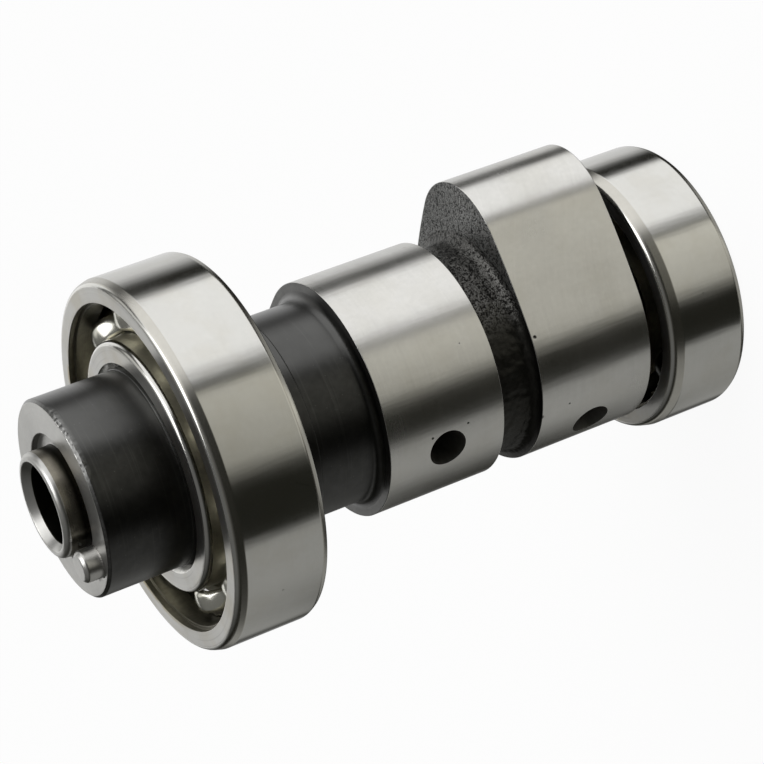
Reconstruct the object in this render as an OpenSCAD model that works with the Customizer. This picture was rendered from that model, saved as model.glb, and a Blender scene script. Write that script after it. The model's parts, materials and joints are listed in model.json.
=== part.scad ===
// Single-cylinder overhead camshaft: one forged and ground shaft that runs in two open ball bearings.
// The shaft stands on the rear bearing's end face: its axis is +Z, and z = 0 is that face.
// The dowel pin in the nose lies on the -Y side, and the two lobes' noses lie either side of +Y.
// Lengths are in millimetres and angles in degrees, counted from +X towards +Y.

/* [Front bearing] */
// Bore of the front bearing, and the shaft's seat in it
front_bore_d = 25; // [23.5:0.5:30]
// Outside diameter of the front bearing
front_outer_d = 47; // [44:1:58]
// Width of the front bearing
front_w = 12; // [10.5:0.5:16]
// Diameter of a front ball
front_ball_d = 6.75; // [5.5:0.25:7.5]
// Number of front balls
front_balls = 10; // [7:1:10]
// Height of the front inner ring's shoulders over its raceway
front_inner_shoulder = 1.3; // [0.8:0.05:1.6]
// Height of the front outer ring's shoulders over its raceway
front_outer_shoulder = 1.05; // [0.6:0.05:1.4]
// Depth of the long edge chamfer on the front outer ring, along the axis
front_chamfer = 1.3; // [0.3:0.1:2]
// Angle of the first front ball
front_ball_turn = 10; // [0:1:36]

/* [Rear bearing] */
// Bore of the rear bearing, and the shaft's seat in it
rear_bore_d = 15; // [12:0.5:17]
// Outside diameter of the rear bearing
rear_outer_d = 35; // [32:1:42]
// Width of the rear bearing
rear_w = 11; // [9:0.5:14]
// Diameter of a rear ball
rear_ball_d = 5.95; // [5:0.25:6.5]
// Number of rear balls
rear_balls = 8; // [6:1:8]
// Height of the rear inner ring's shoulders over its raceway
rear_inner_shoulder = 1.25; // [0.8:0.05:1.4]
// Height of the rear outer ring's shoulders over its raceway
rear_outer_shoulder = 1; // [0.6:0.05:1.2]
// Depth of the long edge chamfer on the rear outer ring, along the axis
rear_chamfer = 1.6; // [0.3:0.1:2]
// Angle of the first rear ball
rear_ball_turn = 0; // [0:1:45]

/* [Cages] */
// Thickness of the front cage's sheet steel
front_sheet = 0.8; // [0.5:0.05:0.9]
// Gap between the front cage's ribbon and the shoulders on either side
front_cage_gap = 0.9; // [0.5:0.05:1.1]
// Thickness of the rear cage's sheet steel
rear_sheet = 0.7; // [0.4:0.05:0.8]
// Gap between the rear cage's ribbon and the shoulders on either side
rear_cage_gap = 0.75; // [0.4:0.05:0.9]
// Diameter of a cage rivet's shank
rivet_d = 1.1; // [0.8:0.1:1.3]
// Diameter of a cage rivet's head
rivet_head_d = 1.8; // [1.4:0.1:2]

/* [Lobes] */
// Diameter of both lobes' base circle
base_d = 30.3; // [29:0.1:36]
// Height that a lobe lifts its follower
lift = 6.5; // [3:0.1:9]
// Radius of a lobe's nose
nose_r = 9.5; // [6:0.1:12]
// Radius of a lobe's slightly bulging flanks
flank_r = 80; // [50:1:200]
// Width of each lobe's ground face
lobe_w = 16; // [10:0.5:22]
// Angle between the two lobes' noses
lobe_spread = 112; // [90:1:130]
// Diameter of the oil hole in each lobe
oil_hole_d = 5; // [2:0.1:6]
// Angle of the front lobe's oil hole
front_oil_turn = -74; // [-90:1:-50]
// Angle of the rear lobe's oil hole
rear_oil_turn = -95; // [-120:1:-60]

/* [Shaft] */
// Gap between the rear bearing and the rear lobe
tail_len = 1.9; // [1.2:0.1:5]
// Height of the shoulder that the rear bearing sits against
tail_h = 2.5; // [1.6:0.1:3]
// Distance between the two lobes
middle_len = 5.5; // [3.5:0.1:12]
// Diameter of the shaft between the lobes
middle_d = 27.2; // [24:0.1:28]
// Length from the front lobe to the front bearing
neck_len = 13.1; // [9:0.1:20]
// Diameter of the turned neck
neck_d = 25.9; // [24:0.1:26.4]
// Height of the thin step over the neck, behind the front bearing's shoulder
step_h = 0.55; // [0.35:0.05:1]
// Length from the front bearing to the far edge of that step
step_len = 4.9; // [3:0.1:6]
// Height of the shoulder that the front bearing sits against
shoulder_h = 2; // [1.6:0.1:2.5]
// Length of that shoulder
shoulder_len = 2.5; // [1:0.1:2.9]
// Radius of the fillet where the neck meets the front lobe
neck_fillet = 1.1; // [0.3:0.1:1.3]
// Radius of the fillet where the middle meets the rear lobe
middle_fillet = 1.4; // [0.3:0.1:1.5]
// How far the shaft's rear end lies inside the rear bearing
end_recess = 0.5; // [0.2:0.1:2]

/* [Nose] */
// How much smaller across the nose is than the front bearing's seat
boss_slack = 0.15; // [0.05:0.05:1]
// Length of the nose in front of the front bearing
boss_len = 10.9; // [8:0.1:20]
// Chamfer around the nose's face
boss_chamfer = 0.35; // [0.1:0.05:1]
// Outside diameter of the spigot that centres the sprocket
spigot_d = 13.2; // [12.2:0.1:14.4]
// Length that the spigot stands out of the nose's face
spigot_len = 2.6; // [1.5:0.1:6]
// Broken outer edge at the spigot's tip
spigot_lip = 0.6; // [0.2:0.05:0.9]
// Width of the relief groove around the spigot
groove_w = 1.6; // [1:0.05:2.5]
// Depth of the relief groove
groove_depth = 0.8; // [0.5:0.1:5]
// Diameter of the bolt bore in the spigot
bore_d = 9.9; // [8:0.1:12]
// Depth of the bolt bore, from the spigot's tip
bore_depth = 22; // [15:0.5:30]
// Chamfer at the bore's mouth
mouth_chamfer = 0.8; // [0.2:0.05:0.9]
// Diameter of the oil gallery behind the bolt bore
gallery_d = 7; // [4:0.1:7.5]
// Diameter of the dowel pin
dowel_d = 4; // [3:0.1:4.4]
// Length that the dowel pin stands out of the nose's face
dowel_out = 2.3; // [1:0.1:5]
// Length of the dowel pin inside the nose
dowel_in = 5.7; // [4:0.1:8]
// Wall between the dowel pin and the nose's outside
dowel_edge = 1; // [0.5:0.05:1.4]

/* [Hidden] */
$fn = 96;
TURN = 360;
// Radial play between a ball and each raceway, and between a ball and its cage pocket
race_play = 0.02;
pocket_play = 0.08;
// Radius of a raceway's groove as a share of the ball's diameter
groove_share = 0.52;
// Short chamfers: on the outer rings, at the lips, at the inner rings' bores
ring_face_chamfer = 0.4;
ring_back_chamfer = 0.8;
lip_chamfer = 0.3;
bore_edge_chamfer = 0.8;
edge_break = 0.3;
// Seal step inside each end of the outer rings
seal_step = 0.4;
seal_step_depth = 0.8;
rivet_head_h = 0.4;
dowel_chamfer = 0.4;
dowel_floor_gap = 0.3;
tail_fillet = 0.5;
rear_face_fillet = 0.8;
// Half the angle at the tip of a drill
drill_half_angle = 59;
// How far a cutting shape reaches past the face that it cuts
over = 1;

front_pitch_r = (front_bore_d + front_outer_d) / 4;
rear_pitch_r = (rear_bore_d + rear_outer_d) / 4;
front_ribbon = front_ball_d - front_inner_shoulder - front_outer_shoulder - 2 * front_cage_gap;
rear_ribbon = rear_ball_d - rear_inner_shoulder - rear_outer_shoulder - 2 * rear_cage_gap;
tail_d = rear_bore_d + 2 * tail_h;
step_d = neck_d + 2 * step_h;
shoulder_d = front_bore_d + 2 * shoulder_h;
boss_d = front_bore_d - boss_slack;
groove_d = spigot_d + 2 * groove_w;
// The spigot's lip and the bore's mouth leave a flat ring on its tip, however thin its wall is
spigot_wall = (spigot_d - bore_d) / 2;
edge_share = min(1, 0.9 * spigot_wall / (mouth_chamfer + spigot_lip));
mouth_w = mouth_chamfer * edge_share;
lip_w = spigot_lip * edge_share;
dowel_pitch = boss_d / 2 - dowel_edge - dowel_d / 2;
rear_lobe_z = rear_w + tail_len;
rear_lobe_top = rear_lobe_z + lobe_w;
front_lobe_z = rear_lobe_top + middle_len;
front_lobe_top = front_lobe_z + lobe_w;
front_z = front_lobe_top + neck_len;
boss_z = front_z + front_w;
nose_z = boss_z + boss_len;
tip_z = nose_z + spigot_len;
front_nose_turn = 90 + lobe_spread / 2;
rear_nose_turn = 90 - lobe_spread / 2;
bore_floor_z = tip_z - bore_depth;
gallery_floor_z = rear_lobe_z + lobe_w / 2 - oil_hole_d / 2;

// A lobe's flank is an arc that touches the base circle and the nose circle from outside
nose_c = base_d / 2 + lift - nose_r;
flank_to_base = flank_r - base_d / 2;
flank_to_nose = flank_r - nose_r;
flank_x = (pow(flank_to_base, 2) - pow(flank_to_nose, 2) + pow(nose_c, 2)) / (2 * nose_c);
flank_y = sqrt(pow(flank_to_base, 2) - pow(flank_x, 2));
flank_start_x = -flank_x * base_d / 2 / flank_to_base;
flank_end_x = flank_x + (nose_c - flank_x) * flank_r / flank_to_nose;

// Outline of a lobe with its nose along +X
module lobe_outline() {
    circle(d = base_d);
    translate([nose_c, 0]) circle(nose_r);
    intersection() {
        translate([flank_x, -flank_y]) circle(flank_r);
        translate([flank_x, flank_y]) circle(flank_r);
        translate([flank_start_x, -base_d / 2]) square([flank_end_x - flank_start_x, base_d]);
    }
}

module lobe(z, turn) {
    translate([0, 0, z]) rotate(turn) linear_extrude(lobe_w) lobe_outline();
}

// Section of the fillet in the corner above a face at z, beside a cylinder of radius r
module fillet_section(r, z, fillet, side) {
    translate([r, z]) mirror([0, side < 0 ? 1 : 0]) difference() {
        square(fillet);
        translate([fillet, fillet]) circle(fillet);
    }
}

// Half section of the shaft's round stretches, from the rear end to the nose's face
module shaft_section() {
    rear_r = rear_bore_d / 2;
    seat_r = front_bore_d / 2;
    boss_r = boss_d / 2;
    polygon([
        [0, end_recess],
        [rear_r - edge_break, end_recess],
        [rear_r, end_recess + edge_break],
        [rear_r, rear_w],
        [tail_d / 2, rear_w],
        [tail_d / 2, rear_lobe_z + lobe_w / 2],
        [middle_d / 2, rear_lobe_z + lobe_w / 2],
        [middle_d / 2, front_lobe_z + lobe_w / 2],
        [neck_d / 2, front_lobe_z + lobe_w / 2],
        [neck_d / 2, front_z - step_len],
        [step_d / 2 - edge_break, front_z - step_len],
        [step_d / 2, front_z - step_len + edge_break],
        [step_d / 2, front_z - shoulder_len],
        [shoulder_d / 2 - edge_break, front_z - shoulder_len],
        [shoulder_d / 2, front_z - shoulder_len + edge_break],
        [shoulder_d / 2, front_z],
        [seat_r, front_z],
        [seat_r, boss_z - edge_break],
        [boss_r, boss_z - edge_break],
        [boss_r, nose_z - boss_chamfer],
        [boss_r - boss_chamfer, nose_z],
        [0, nose_z]
    ]);
    fillet_section(tail_d / 2, rear_lobe_z, tail_fillet, -1);
    fillet_section(middle_d / 2, rear_lobe_top, middle_fillet, 1);
    fillet_section(middle_d / 2, front_lobe_z, rear_face_fillet, -1);
    fillet_section(neck_d / 2, front_lobe_top, neck_fillet, 1);
}

// The spigot, from the floor of the relief groove to its tip
module spigot() {
    spigot_r = spigot_d / 2;
    rotate_extrude() polygon([
        [0, nose_z - groove_depth],
        [spigot_r, nose_z - groove_depth],
        [spigot_r, tip_z - lip_w],
        [spigot_r - lip_w, tip_z],
        [0, tip_z]
    ]);
}

// A drilled blind hole that runs down from z, with the drill's cone at its end
module drilled(r, z, depth) {
    cone_h = r / tan(drill_half_angle);
    translate([0, 0, z - depth]) cylinder(r = r, h = depth + over);
    translate([0, 0, z - depth - cone_h]) cylinder(r1 = 0, r2 = r, h = cone_h);
}

module bolt_bore() {
    mouth_r = bore_d / 2 + mouth_w;
    drilled(bore_d / 2, tip_z, bore_depth);
    drilled(gallery_d / 2, bore_floor_z, bore_floor_z - gallery_floor_z);
    translate([0, 0, tip_z - mouth_w]) cylinder(r1 = bore_d / 2, r2 = mouth_r, h = mouth_w);
    translate([0, 0, tip_z]) cylinder(r = mouth_r, h = over);
}

module oil_hole(z, turn) {
    translate([0, 0, z]) rotate(turn) rotate([0, 90, 0]) cylinder(d = oil_hole_d, h = base_d);
}

module relief_groove() {
    translate([0, 0, nose_z - groove_depth]) difference() {
        cylinder(d = groove_d, h = groove_depth + over);
        cylinder(d = spigot_d, h = groove_depth + over);
    }
}

// The shaft is forged, turned and ground from one piece, with its lobes, seats, nose and spigot
module camshaft() {
    color("dimgray") difference() {
        union() {
            difference() {
                union() {
                    rotate_extrude() shaft_section();
                    lobe(rear_lobe_z, rear_nose_turn);
                    lobe(front_lobe_z, front_nose_turn);
                }
                relief_groove();
            }
            spigot();
        }
        bolt_bore();
        oil_hole(front_lobe_z + lobe_w / 2, front_oil_turn);
        oil_hole(rear_lobe_z + lobe_w / 2, rear_oil_turn);
        translate([0, -dowel_pitch, nose_z - dowel_in - dowel_floor_gap])
            cylinder(d = dowel_d, h = dowel_in + dowel_floor_gap + over);
    }
}

// Hardened pin that sets the sprocket's angle
module dowel_pin() {
    dowel_r = dowel_d / 2;
    color("lightgray") translate([0, -dowel_pitch, nose_z]) rotate_extrude() polygon([
        [0, -dowel_in],
        [dowel_r - dowel_chamfer, -dowel_in],
        [dowel_r, dowel_chamfer - dowel_in],
        [dowel_r, dowel_out - dowel_chamfer],
        [dowel_r - dowel_chamfer, dowel_out],
        [0, dowel_out]
    ]);
}

// Inner ring from z = 0 to w, with a raceway for balls of radius ball_r on radius pitch_r
module inner_ring(bore_r, shoulder, w, ball_r, pitch_r) {
    land_r = pitch_r - ball_r + shoulder;
    race_r = groove_share * 2 * ball_r;
    rotate_extrude() difference() {
        polygon([
            [bore_r + bore_edge_chamfer, 0],
            [land_r - lip_chamfer, 0],
            [land_r, lip_chamfer],
            [land_r, w - lip_chamfer],
            [land_r - lip_chamfer, w],
            [bore_r + bore_edge_chamfer, w],
            [bore_r, w - bore_edge_chamfer],
            [bore_r, bore_edge_chamfer]
        ]);
        translate([pitch_r - ball_r - race_play + race_r, w / 2]) circle(race_r);
    }
}

// Outer ring from z = 0 to w; chamfer is the length of the long edge chamfer at the end z = w
module outer_ring(outer_r, shoulder, w, ball_r, pitch_r, chamfer) {
    land_r = pitch_r + ball_r - shoulder;
    race_r = groove_share * 2 * ball_r;
    rotate_extrude() difference() {
        polygon([
            [land_r + seal_step, 0],
            [outer_r - ring_face_chamfer, 0],
            [outer_r, ring_back_chamfer],
            [outer_r, w - chamfer],
            [outer_r - ring_face_chamfer, w],
            [land_r + seal_step, w],
            [land_r + seal_step, w - seal_step_depth],
            [land_r, w - seal_step_depth],
            [land_r, seal_step_depth],
            [land_r + seal_step, seal_step_depth]
        ]);
        translate([pitch_r + ball_r + race_play - race_r, w / 2]) circle(race_r);
    }
}

// Puts its children at each ball's place, or half a pitch on, at the gaps between the balls
module around(count, pitch_r, turn, shift = 0) {
    for (i = [0 : count - 1]) rotate(turn + TURN / count * (i + shift)) translate([pitch_r, 0, 0]) children();
}

// Pressed half of a ribbon cage: flat between the balls and arched over them, above z = 0
module cage_half(count, pitch_r, turn, ball_r, ribbon, sheet) {
    pocket_r = ball_r + pocket_play;
    inner_r = pitch_r - ribbon / 2;
    difference() {
        union() {
            rotate_extrude() translate([inner_r, 0]) square([ribbon, sheet]);
            intersection() {
                around(count, pitch_r, turn) rotate([0, 90, 0])
                    cylinder(r = pocket_r + sheet, h = ribbon + 2 * over, center = true);
                rotate_extrude() translate([inner_r, 0]) square([ribbon, pocket_r + sheet + over]);
            }
        }
        around(count, pitch_r, turn) rotate([0, 90, 0])
            cylinder(r = pocket_r, h = ribbon + 4 * over, center = true);
        around(count, pitch_r, turn, 0.5) translate([0, 0, -over]) cylinder(d = rivet_d, h = sheet + 2 * over);
    }
}

// Rivets through both halves of a cage, each with a head on either side
module cage_rivets(count, pitch_r, turn, sheet) {
    around(count, pitch_r, turn, 0.5) {
        translate([0, 0, -sheet]) cylinder(d = rivet_d, h = 2 * sheet);
        for (side = [0, 1]) mirror([0, 0, side]) translate([0, 0, sheet])
            cylinder(d1 = rivet_head_d, d2 = rivet_d, h = rivet_head_h);
    }
}

module front_inner_ring() {
    color("silver") translate([0, 0, front_z])
        inner_ring(front_bore_d / 2, front_inner_shoulder, front_w, front_ball_d / 2, front_pitch_r);
}

module front_outer_ring() {
    color("silver") translate([0, 0, front_z])
        outer_ring(front_outer_d / 2, front_outer_shoulder, front_w, front_ball_d / 2, front_pitch_r,
            front_chamfer);
}

module rear_inner_ring() {
    color("silver") inner_ring(rear_bore_d / 2, rear_inner_shoulder, rear_w, rear_ball_d / 2, rear_pitch_r);
}

module rear_outer_ring() {
    color("silver")
        outer_ring(rear_outer_d / 2, rear_outer_shoulder, rear_w, rear_ball_d / 2, rear_pitch_r, rear_chamfer);
}

module front_cage_half() {
    cage_half(front_balls, front_pitch_r, front_ball_turn, front_ball_d / 2, front_ribbon, front_sheet);
}

module rear_cage_half() {
    cage_half(rear_balls, rear_pitch_r, rear_ball_turn, rear_ball_d / 2, rear_ribbon, rear_sheet);
}

module front_cage_nose_side() {
    color("gray") translate([0, 0, front_z + front_w / 2]) front_cage_half();
}

module front_cage_lobe_side() {
    color("gray") translate([0, 0, front_z + front_w / 2]) mirror([0, 0, 1]) front_cage_half();
}

module front_cage_rivets() {
    color("darkgray") translate([0, 0, front_z + front_w / 2])
        cage_rivets(front_balls, front_pitch_r, front_ball_turn, front_sheet);
}

module rear_cage_lobe_side() {
    color("gray") translate([0, 0, rear_w / 2]) rear_cage_half();
}

module rear_cage_end_side() {
    color("gray") translate([0, 0, rear_w / 2]) mirror([0, 0, 1]) rear_cage_half();
}

module rear_cage_rivets() {
    color("darkgray") translate([0, 0, rear_w / 2])
        cage_rivets(rear_balls, rear_pitch_r, rear_ball_turn, rear_sheet);
}

module front_ball(i) {
    color("whitesmoke") translate([0, 0, front_z + front_w / 2])
        rotate(front_ball_turn + TURN / front_balls * (i - 1))
        translate([front_pitch_r, 0, 0]) sphere(d = front_ball_d);
}

module rear_ball(i) {
    color("whitesmoke") translate([0, 0, rear_w / 2])
        rotate(rear_ball_turn + TURN / rear_balls * (i - 1))
        translate([rear_pitch_r, 0, 0]) sphere(d = rear_ball_d);
}

camshaft();
dowel_pin();
front_inner_ring();
front_outer_ring();
front_cage_nose_side();
front_cage_lobe_side();
front_cage_rivets();
rear_inner_ring();
rear_outer_ring();
rear_cage_lobe_side();
rear_cage_end_side();
rear_cage_rivets();
for (i = [1 : front_balls]) front_ball(i);
for (i = [1 : rear_balls]) rear_ball(i);
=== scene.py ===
"""Finish of a small overhead camshaft that runs in an open ball bearing at each end.

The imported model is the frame. The shaft stands on its rear bearing with its axis along +Z, so every
turned piece is built here as a profile spun about Z, in metres, in the frame's own place.
"""

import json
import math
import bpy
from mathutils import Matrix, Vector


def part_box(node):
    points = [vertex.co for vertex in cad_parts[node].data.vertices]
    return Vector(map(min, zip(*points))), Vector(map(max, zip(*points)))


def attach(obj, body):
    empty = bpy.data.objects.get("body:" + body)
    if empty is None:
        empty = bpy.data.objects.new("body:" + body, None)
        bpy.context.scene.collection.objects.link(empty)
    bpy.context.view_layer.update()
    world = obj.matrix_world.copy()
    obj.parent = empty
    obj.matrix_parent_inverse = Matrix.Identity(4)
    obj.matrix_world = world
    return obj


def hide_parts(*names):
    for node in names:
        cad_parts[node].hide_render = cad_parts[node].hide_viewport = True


bl_info = {
    "name": "Camshaft Finish",
    "version": (1, 0, 0),
    "blender": (4, 5, 0),
    "location": "View3D > Sidebar > Camshaft",
    "description": "Builds the shaft, lobes, ball bearings and studio of a small camshaft",
    "category": "Object",
}

import bmesh
import bpy
import numpy as np
from bpy.props import FloatProperty, FloatVectorProperty, IntProperty, PointerProperty
from mathutils import Matrix, Vector, noise

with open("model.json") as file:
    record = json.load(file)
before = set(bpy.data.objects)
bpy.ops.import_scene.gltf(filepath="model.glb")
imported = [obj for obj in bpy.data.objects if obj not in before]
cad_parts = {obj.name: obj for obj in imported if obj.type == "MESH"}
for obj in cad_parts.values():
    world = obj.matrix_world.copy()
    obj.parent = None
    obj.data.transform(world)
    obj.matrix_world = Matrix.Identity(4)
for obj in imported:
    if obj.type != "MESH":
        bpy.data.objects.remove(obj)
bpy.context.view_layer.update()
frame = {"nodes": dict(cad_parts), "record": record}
MM = 0.001
TURN = 2 * math.pi
SHARP_ANGLE = math.radians(50)  # a sharper edge isn't smoothed
FLAT_ANGLE = math.radians(87)  # beyond this, half a corner's angle counts as straight
CORNER_SHARE = 0.45  # how much of a stretch the rounding of a corner may take
BRACE = 0.04 * MM  # from a corner to the point that braces it


def reach(node):
    """Smallest and largest distance from the shaft's axis, and lowest and highest z, of a CAD node."""
    mesh = frame["nodes"][node].data
    points = np.zeros(len(mesh.vertices) * 3)
    mesh.vertices.foreach_get("co", points)
    points = points.reshape(-1, 3)
    radius = np.hypot(points[:, 0], points[:, 1])
    return radius.min(), radius.max(), points[:, 2].min(), points[:, 2].max()


def mount(name):
    """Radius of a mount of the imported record, in metres."""
    return next(m for m in frame["record"]["mounts"] if m["name"] == name)["dims"]["r_mm"] * MM


def mm(name, description, size):
    return FloatProperty(name=name, description=description, default=size * MM, unit="LENGTH", precision=5)


def degrees(name, description, angle):
    return FloatProperty(name=name, description=description, default=math.radians(angle), subtype="ANGLE")


def tone(name, description, *rgb):
    return FloatVectorProperty(
        name=name, description=description, default=rgb, size=3, min=0, max=1, subtype="COLOR")


class ShaftSizes(bpy.types.PropertyGroup):
    """Sizes of the forging that the frame's boxes don't give"""
    rear_seat: mm("Rear seat", "Radius of the shaft in the rear bearing", 7.5)
    front_seat: mm("Front seat", "Radius of the shaft in the front bearing", 12.5)
    end_recess: mm("End recess", "How far the shaft's end lies inside the rear bearing", 0.5)
    tail: mm("Tail", "Radius between the rear bearing and the rear lobe", 10)
    middle: mm("Middle", "Radius of the forged stretch between the lobes", 13.6)
    neck: mm("Neck", "Radius of the turned neck", 12.95)
    step: mm("Step", "Radius of the thin step behind the front shoulder", 13.5)
    step_length: mm("Step length", "From the front bearing to the step's far edge", 4.9)
    shoulder: mm("Shoulder", "Radius of the front bearing's shoulder", 14.5)
    shoulder_length: mm("Shoulder length", "Length of that shoulder", 2.5)
    boss: mm("Nose", "Radius of the nose", 12.425)
    boss_length: mm("Nose length", "Length of the nose in front of its bearing", 10.9)
    boss_chamfer: mm("Nose chamfer", "Chamfer around the nose's face", 0.35)
    groove: mm("Groove", "Outer radius of the relief groove around the spigot", 8.2)
    groove_depth: mm("Groove depth", "Depth of the relief groove", 0.8)
    spigot_lip: mm("Spigot lip", "Rounding of the spigot's outer edge", 0.75)
    bore_depth: mm("Bore depth", "Depth of the bolt bore from the spigot's tip", 22)
    mouth_chamfer: mm("Mouth chamfer", "Width of the chamfer at the bore's mouth", 0.7)
    mouth_depth: mm("Mouth depth", "Depth of that chamfer", 1.05)
    gallery: mm("Gallery", "Radius of the oil gallery behind the bore", 3.5)
    gallery_floor: mm("Gallery floor", "Height of the gallery's floor", 18.4)
    edge_break: mm("Edge break", "Small chamfer on turned edges", 0.3)
    neck_fillet: mm("Neck fillet", "Fillet where the neck meets the front lobe", 1.1)
    middle_fillet: mm("Middle fillet", "Fillet where the forged stretch meets the rear lobe", 1.45)
    back_fillet: mm("Back fillet", "Fillet behind the front lobe", 0.8)
    drill_half_angle: degrees("Drill angle", "Half the angle of a drill's tip", 59)
    forged_depth: mm("Forged depth", "Depth of the scale left on the forged stretch", 0.1)
    dent_depth: mm("Dent depth", "Depth of the dents along the nose's front edge", 0.18)
    dent_start: degrees("Dents from", "Direction where the dented stretch starts", -24)
    dent_end: degrees("Dents to", "Direction where the dented stretch ends", 30)


class LobeSizes(bpy.types.PropertyGroup):
    """Sizes of the two ground lobes"""
    base: mm("Base circle", "Radius of the base circle", 15.15)
    lift: mm("Lift", "Lift of the follower", 6.5)
    nose: mm("Lobe nose", "Radius of the lobe's nose", 9.5)
    flank: mm("Flank", "Radius of the bulging flanks", 80)
    width: mm("Width", "Width of the ground face", 16)
    rear_z: mm("Rear lobe", "Height of the rear lobe's lower face", 12.9)
    front_z: mm("Front lobe", "Height of the front lobe's lower face", 34.4)
    rear_turn: degrees("Rear nose", "Direction of the rear lobe's nose", 34)
    front_turn: degrees("Front nose", "Direction of the front lobe's nose", 146)
    hole: mm("Oil hole", "Radius of the oil hole in each lobe", 2.5)
    rear_hole_turn: degrees("Rear oil hole", "Direction of the rear lobe's oil hole", -95)
    front_hole_turn: degrees("Front oil hole", "Direction of the front lobe's oil hole", -74)
    edge: mm("Lobe edge", "Break along the ground face's edges", 0.07)
    overlap: mm("Overlap", "How far a lobe reaches inside the shaft's surface", 1)
    forged_lumps: mm("Forged lumps", "Unevenness of the rear lobe's side faces", 0.09)
    turned_lumps: mm("Turned lumps", "Unevenness of the front lobe's side faces", 0.0135)


class BearingSizes(bpy.types.PropertyGroup):
    """Sizes of the bearing rings, cages and rivets that the frame's boxes don't give"""
    race_play: mm("Play", "Gap between a ball and its raceway", 0.02)
    face_chamfer: mm("Face chamfer", "Radial depth of an outer ring's chamfers", 0.4)
    face_round: mm("Face rounding", "Rounding between an outer ring's face and chamfer", 0.8)
    back_chamfer: mm("Short chamfer", "Axial length of an outer ring's short chamfer", 0.8)
    front_chamfer: mm("Front chamfer", "Axial length of the front ring's long chamfer", 1.3)
    rear_chamfer: mm("Rear chamfer", "Axial length of the rear ring's long chamfer", 1.6)
    bore_chamfer: mm("Bore chamfer", "Chamfer in an inner ring's bore", 0.8)
    lip_round: mm("Lip rounding", "Rounding of an inner ring's lips", 0.8)
    seal_step: mm("Seal step", "Radial depth of the step inside an outer ring's face", 0.4)
    seal_depth: mm("Seal depth", "Axial depth of that step", 0.8)
    groove_share: FloatProperty(
        name="Groove", description="Radius of a raceway as a share of the ball's diameter", default=0.52)
    pocket_play: mm("Pocket play", "Gap between a ball and its cage pocket", 0.08)
    dome_blend: mm("Dome blend", "Softness of the corner where a dome leaves the flat sheet", 0.25)
    rivet_head: mm("Rivet head", "Radius of a rivet's domed head", 0.9)
    rivet_rise: mm("Rivet rise", "Height of a rivet's head", 0.4)


class FinishColours(bpy.types.PropertyGroup):
    """Colours of the steels"""
    ground: tone("Ground steel", "Ground lobes", 0.65, 0.643, 0.62)
    bearing: tone("Bearing steel", "Polished outside of the bearing rings", 0.61, 0.605, 0.58)
    face: tone("Ring face steel", "Flat faces of the bearing rings", 0.58, 0.573, 0.55)
    chamfer: tone("Chamfer steel", "Turned chamfers of the rings", 0.58, 0.565, 0.52)
    # Its darkness is painted shade inside the bearings; its warm tint is old oil
    race: tone("Oiled steel", "Raceways and lands under old oil", 0.24, 0.225, 0.17)
    machined: tone("Machined steel", "Bright turned face of the nose", 0.60, 0.595, 0.575)
    spigot: tone("Spigot steel", "Stained side of the spigot", 0.36, 0.335, 0.28)
    land: tone("Inner land steel", "Outside of the inner rings under old oil", 0.62, 0.59, 0.46)
    turned: tone("Turned steel", "Dull turned side faces of the front lobe", 0.22, 0.22, 0.215)
    drilled: tone("Drilled steel", "Walls of the oil holes", 0.36, 0.35, 0.33)
    oxide: tone("Black oxide", "Blackened turned surfaces", 0.026, 0.026, 0.024)
    # Also the colour of the painted sheen on the oxide where the key light reflects
    rubbed: tone("Rubbed oxide", "Black oxide rubbed thin", 0.085, 0.085, 0.082)
    forged: tone("Forged scale", "Side faces of the rear lobe", 0.24, 0.24, 0.234)
    scale: tone("Dark scale", "Forged stretch between the lobes", 0.12, 0.118, 0.112)
    cage: tone("Cage steel", "Pressed cages", 0.74, 0.73, 0.66)
    # Painted shade: near-black steel for the bolt bore and gallery and for the rear cage's seen half and
    # rivets
    oily: tone("Oily steel", "Steel under dark oil, in the bore and the rear cage", 0.045, 0.044, 0.036)
    ball: tone("Ball steel", "Polished balls", 0.78, 0.78, 0.79)
    tint: tone("Oil tint", "Dried oil on the rings", 0.36, 0.30, 0.17)


class StudioSettings(bpy.types.PropertyGroup):
    """Camera, floor and meshes"""
    camera_at: FloatVectorProperty(
        name="Camera", description="Camera's place", default=(0.27225, -0.15844, 0.17707), size=3,
        unit="LENGTH")
    camera_right: FloatVectorProperty(
        name="Camera right", description="Direction of the picture's right side",
        default=(0.141492, -0.487518, -0.861572), size=3, subtype="DIRECTION")
    camera_forward: FloatVectorProperty(
        name="Camera forward", description="Direction in which the camera looks",
        default=(-0.795449, 0.462081, -0.3921), size=3, subtype="DIRECTION")
    lens: FloatProperty(name="Lens", description="Focal length in millimetres", default=130.456, min=10)
    floor_radius: FloatProperty(
        name="Floor", description="Radius of the round floor", default=1.5, unit="LENGTH")
    floor_shade: FloatProperty(
        name="Floor shade", description="Share of the floor's colour that takes shadow", default=0.06,
        min=0, max=1, subtype="FACTOR")
    ball_rows: IntProperty(name="Ball rows", description="Rows of faces on a ball", default=32, min=8)


def settings():
    scene = bpy.context.scene
    return scene.camshaft_shaft, scene.camshaft_lobes, scene.camshaft_bearings


def colour_of(key):
    return tuple(getattr(bpy.context.scene.camshaft_colours, key))


def nose_height():
    """Height of the nose's face."""
    return reach("front_inner_ring")[3] + settings()[0].boss_length


# Meshes

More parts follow.
